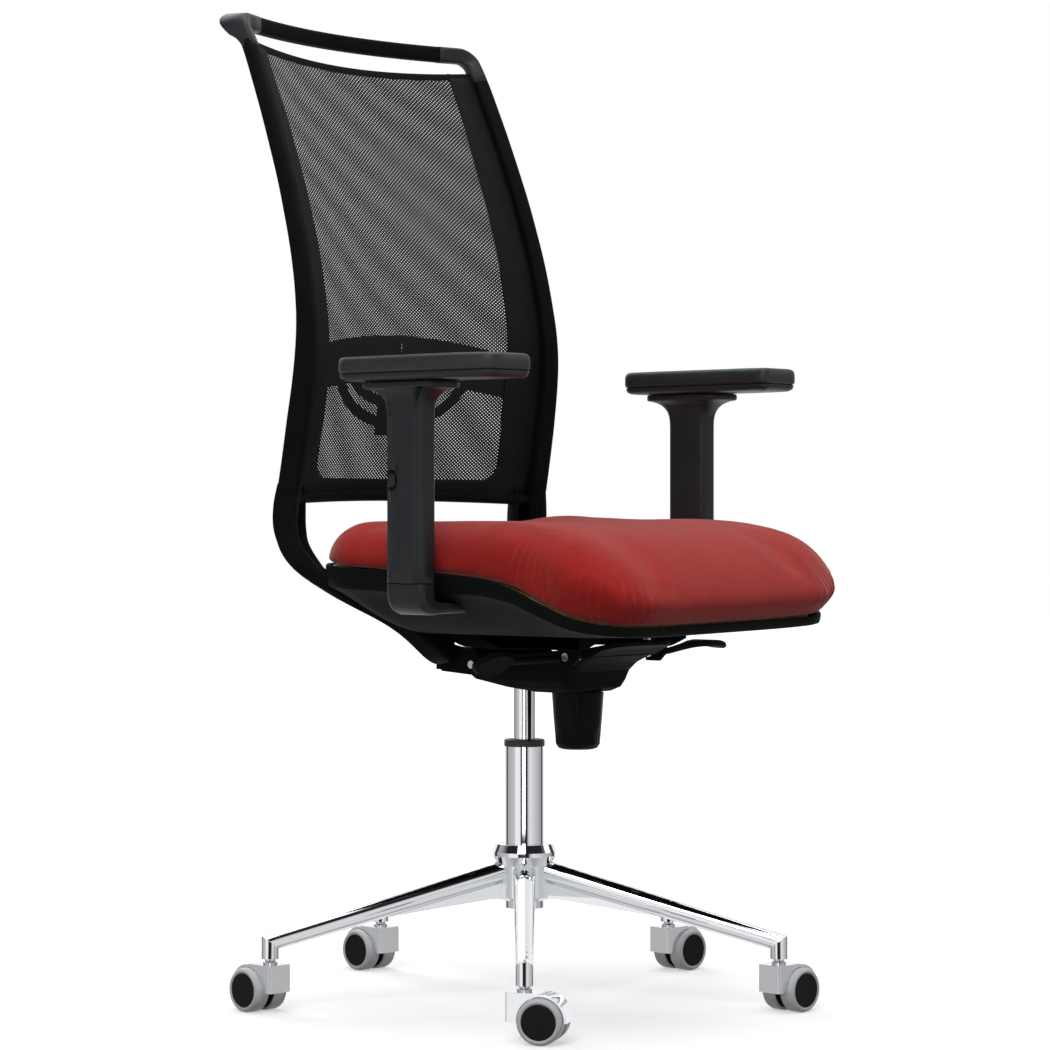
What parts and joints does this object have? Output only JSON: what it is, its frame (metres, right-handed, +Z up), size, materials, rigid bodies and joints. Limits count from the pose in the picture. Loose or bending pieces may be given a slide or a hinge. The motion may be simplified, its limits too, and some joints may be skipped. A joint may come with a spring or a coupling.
{
  "type": "swivel office chair",
  "caption": "Swivel office chair with a star base on casters, gas lift, tilting upholstered seat, mesh back with sliding lumbar support and height-adjustable arms.",
  "frame": {"origin": "on the floor under the axis of the gas lift", "axes": "+Z up, the sitter looks along -Y, +X is the sitter's left"},
  "size_m": [0.704, 0.712, 1.249],
  "materials": {
    "polished_chrome": "mirror polished",
    "bright_steel": "bright turned",
    "black_plastic": "fine moulded texture",
    "charcoal_plastic": "satin moulded",
    "black_casting": "satin black cover over cast mechanism",
    "black_steel": "black powder coat",
    "soft_pad": "soft integral-skin foam",
    "wheel_black": "moulded nylon",
    "grey_tread": "soft polyurethane",
    "red_velour": "short-pile velour",
    "plywood": "moulded beech plywood",
    "black_mesh": "open woven mesh"
  },
  "bodies": {
    "base": {"star_base": "polished_chrome", "lift_tube": "polished_chrome", "guide_bush": "black_plastic", "thrust_bearing": "bright_steel", "lift_clip": "bright_steel"},
    "lift_rod": {"piston_rod": "bright_steel"},
    "mechanism": {"gas_cylinder": "bright_steel", "mechanism_housing": "black_casting", "front_cover": "black_plastic", "tilt_spring": "bright_steel", "pivot_pins": "bright_steel"},
    "knob": {"tension_knob": "black_plastic", "tension_screw": "bright_steel"},
    "height_lever": {"height_lever": "black_plastic"},
    "tilt_lever": {"tilt_lever": "black_plastic"},
    "seat": {"seat_carrier": "black_casting", "seat_screws": "bright_steel", "seat_shell": "black_plastic", "seat_pan": "plywood", "seat_cushion": "red_velour", "arm_bracket_left": "charcoal_plastic", "arm_bracket_right": "charcoal_plastic", "arm_post_left": "black_steel", "arm_post_right": "black_steel"},
    "back": {"back_frame": "black_plastic", "back_handle": "charcoal_plastic", "back_mesh": "black_mesh", "back_yoke": "black_plastic"},
    "lumbar": {"lumbar_pad": "black_plastic", "lumbar_bracket": "black_plastic"},
    "arm_left": {"arm_sleeve_left": "charcoal_plastic"},
    "button_left": {"arm_button_left": "charcoal_plastic"},
    "pad_left": {"arm_pad_base_left": "charcoal_plastic", "arm_pad_left": "soft_pad"},
    "arm_right": {"arm_sleeve_right": "charcoal_plastic"},
    "button_right": {"arm_button_right": "charcoal_plastic"},
    "pad_right": {"arm_pad_base_right": "charcoal_plastic", "arm_pad_right": "soft_pad"},
    "caster_1": {"caster_hood_1": "polished_chrome", "caster_pins_1": "bright_steel"},
    "wheels_1": {"wheel_discs_1": "wheel_black", "wheel_treads_1": "grey_tread"},
    "caster_2": {"caster_hood_2": "polished_chrome", "caster_pins_2": "bright_steel"},
    "wheels_2": {"wheel_discs_2": "wheel_black", "wheel_treads_2": "grey_tread"},
    "caster_3": {"caster_hood_3": "polished_chrome", "caster_pins_3": "bright_steel"},
    "wheels_3": {"wheel_discs_3": "wheel_black", "wheel_treads_3": "grey_tread"},
    "caster_4": {"caster_hood_4": "polished_chrome", "caster_pins_4": "bright_steel"},
    "wheels_4": {"wheel_discs_4": "wheel_black", "wheel_treads_4": "grey_tread"},
    "caster_5": {"caster_hood_5": "polished_chrome", "caster_pins_5": "bright_steel"},
    "wheels_5": {"wheel_discs_5": "wheel_black", "wheel_treads_5": "grey_tread"}
  },
  "joints": [
    {"name": "seat_swivel", "type": "hinge", "parent": "base", "child": "lift_rod", "pos_m": [0, 0, 0.13], "axis": [0, 0, 1], "continuous": true},
    {"name": "lift_slide", "type": "slide", "parent": "lift_rod", "child": "mechanism", "axis": [0, 0, 1], "range_m": [-0.045, 0.055]},
    {"name": "back_tilt", "type": "hinge", "parent": "mechanism", "child": "back", "pos_m": [0, 0.02, 0.427], "axis": [-1, 0, 0], "range_deg": [0, 18], "stiffness_Nm_per_rad": 70, "springref_deg": -12.03},
    {"name": "seat_tilt", "type": "hinge", "parent": "mechanism", "child": "seat", "pos_m": [0, -0.14, 0.441], "axis": [-1, 0, 0], "range_deg": [0, 7.2]},
    {"name": "lumbar_slide", "type": "slide", "parent": "back", "child": "lumbar", "axis": [0, 0, 1], "range_m": [-0.03, 0.03]},
    {"name": "tension_turn", "type": "hinge", "parent": "mechanism", "child": "knob", "pos_m": [0, -0.087, 0.36], "axis": [0, 0, 1], "continuous": true},
    {"name": "height_lever_lift", "type": "hinge", "parent": "mechanism", "child": "height_lever", "pos_m": [-0.065, -0.119, 0.438], "axis": [1, 0, 0], "range_deg": [0, 14], "stiffness_Nm_per_rad": 1, "springref_deg": -6.88},
    {"name": "tilt_lever_turn", "type": "hinge", "parent": "mechanism", "child": "tilt_lever", "pos_m": [0.065, -0.119, 0.438], "axis": [1, 0, 0], "range_deg": [0, 25]},
    {"name": "arm_lift_left", "type": "slide", "parent": "seat", "child": "arm_left", "axis": [0, 0, 1], "range_m": [0, 0.08]},
    {"name": "arm_button_press_left", "type": "slide", "parent": "arm_left", "child": "button_left", "axis": [-1, 0, 0], "range_m": [0, 0.0025], "stiffness_N_per_m": 400, "springref_m": -0.001},
    {"name": "pad_slide_left", "type": "slide", "parent": "arm_left", "child": "pad_left", "axis": [0, 1, 0], "range_m": [-0.025, 0.025]},
    {"name": "arm_lift_right", "type": "slide", "parent": "seat", "child": "arm_right", "axis": [0, 0, 1], "range_m": [0, 0.08]},
    {"name": "arm_button_press_right", "type": "slide", "parent": "arm_right", "child": "button_right", "axis": [1, 0, 0], "range_m": [0, 0.0025], "stiffness_N_per_m": 400, "springref_m": -0.001},
    {"name": "pad_slide_right", "type": "slide", "parent": "arm_right", "child": "pad_right", "axis": [0, 1, 0], "range_m": [-0.025, 0.025]},
    {"name": "caster_swivel_1", "type": "hinge", "parent": "base", "child": "caster_1", "pos_m": [-0.25279, -0.21212, 0.075], "axis": [0, 0, 1], "continuous": true},
    {"name": "wheel_roll_1", "type": "hinge", "parent": "caster_1", "child": "wheels_1", "pos_m": [-0.24307, -0.23297, 0.0275], "axis": [0.9063, 0.4226, 0], "continuous": true},
    {"name": "caster_swivel_2", "type": "hinge", "parent": "base", "child": "caster_2", "pos_m": [0.12362, -0.30597, 0.075], "axis": [0, 0, 1], "continuous": true},
    {"name": "wheel_roll_2", "type": "hinge", "parent": "caster_2", "child": "wheels_2", "pos_m": [0.14653, -0.30797, 0.0275], "axis": [0.0872, 0.9962, 0], "continuous": true},
    {"name": "caster_swivel_3", "type": "hinge", "parent": "base", "child": "caster_3", "pos_m": [0.3292, 0.02302, 0.075], "axis": [0, 0, 1], "continuous": true},
    {"name": "wheel_roll_3", "type": "hinge", "parent": "caster_3", "child": "wheels_3", "pos_m": [0.35211, 0.02101, 0.0275], "axis": [0.0872, 0.9962, 0], "continuous": true},
    {"name": "caster_swivel_4", "type": "hinge", "parent": "base", "child": "caster_4", "pos_m": [0.07983, 0.3202, 0.075], "axis": [0, 0, 1], "continuous": true},
    {"name": "wheel_roll_4", "type": "hinge", "parent": "caster_4", "child": "wheels_4", "pos_m": [0.08184, 0.34311, 0.0275], "axis": [-0.9962, 0.0872, 0], "continuous": true},
    {"name": "caster_swivel_5", "type": "hinge", "parent": "base", "child": "caster_5", "pos_m": [-0.27986, 0.17487, 0.075], "axis": [0, 0, 1], "continuous": true},
    {"name": "wheel_roll_5", "type": "hinge", "parent": "caster_5", "child": "wheels_5", "pos_m": [-0.27785, 0.19779, 0.0275], "axis": [-0.9962, 0.0872, 0], "continuous": true}
  ],
  "couplings": [
    {"joint": "seat_tilt", "follows": "back_tilt", "ratio": 0.4}
  ]
}
